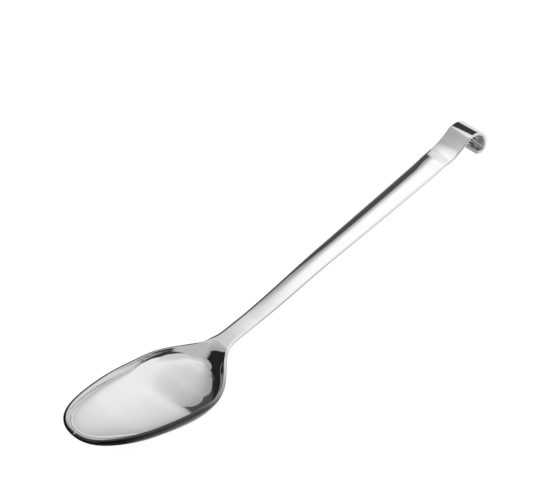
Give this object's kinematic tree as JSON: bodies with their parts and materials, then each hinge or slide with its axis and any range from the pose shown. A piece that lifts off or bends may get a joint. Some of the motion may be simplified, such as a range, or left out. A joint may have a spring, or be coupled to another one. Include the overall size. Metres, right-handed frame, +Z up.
{
  "type": "serving spoon",
  "caption": "Long polished steel serving spoon with a deep egg-shaped bowl, a slim widening handle and a hook at its end for hanging on a rail.",
  "frame": {"origin": "centre of the spoon's outline at table height, with the spoon resting on its bowl floor and its hook", "axes": "+X from the bowl tip to the hook, +Y across the spoon, +Z up from the table"},
  "size_m": [0.3352, 0.0536, 0.0324],
  "materials": {
    "steel": "mirror polished stainless steel"
  },
  "bodies": {
    "root": {"bowl": "steel", "neck": "steel", "handle": "steel", "hook_step": "steel", "hanging_hook": "steel"}
  },
  "joints": []
}
